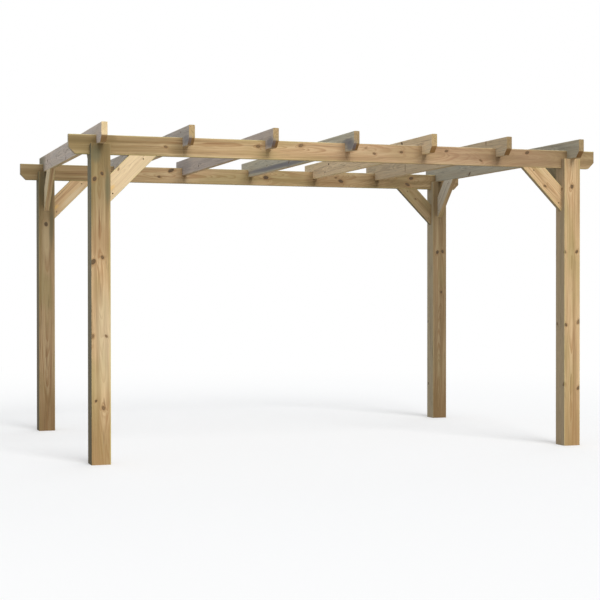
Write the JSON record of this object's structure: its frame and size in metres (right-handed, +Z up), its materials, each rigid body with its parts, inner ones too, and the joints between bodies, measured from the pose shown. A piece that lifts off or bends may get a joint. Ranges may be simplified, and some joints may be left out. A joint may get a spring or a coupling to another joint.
{
  "type": "wooden garden pergola",
  "caption": "Free-standing open timber pergola: square posts with slotted heads, beams let into them, lapped rafters with bevelled ends, and mitred knee braces.",
  "frame": {"origin": "on the ground, in the middle of the four posts", "axes": "+X along the beams to the right, +Y along the rafters to the back, +Z up"},
  "size_m": [4.355, 3.055, 2.5],
  "materials": {
    "post_timber": "planed pressure-treated softwood, slightly weathered",
    "beam_timber": "planed pressure-treated softwood, slightly weathered",
    "rafter_timber": "planed pressure-treated softwood, slightly weathered",
    "brace_timber": "planed pressure-treated softwood, slightly weathered"
  },
  "bodies": {
    "root": {"front_beam": "beam_timber", "front_left_post": "post_timber", "front_left_beam_brace": "brace_timber", "front_left_rafter_brace": "brace_timber", "front_right_post": "post_timber", "front_right_beam_brace": "brace_timber", "front_right_rafter_brace": "brace_timber", "back_beam": "beam_timber", "back_left_post": "post_timber", "back_left_beam_brace": "brace_timber", "back_left_rafter_brace": "brace_timber", "back_right_post": "post_timber", "back_right_beam_brace": "brace_timber", "back_right_rafter_brace": "brace_timber", "rafter_1": "rafter_timber", "rafter_2": "rafter_timber", "rafter_3": "rafter_timber", "rafter_4": "rafter_timber", "rafter_5": "rafter_timber", "rafter_6": "rafter_timber", "rafter_7": "rafter_timber"}
  },
  "joints": []
}
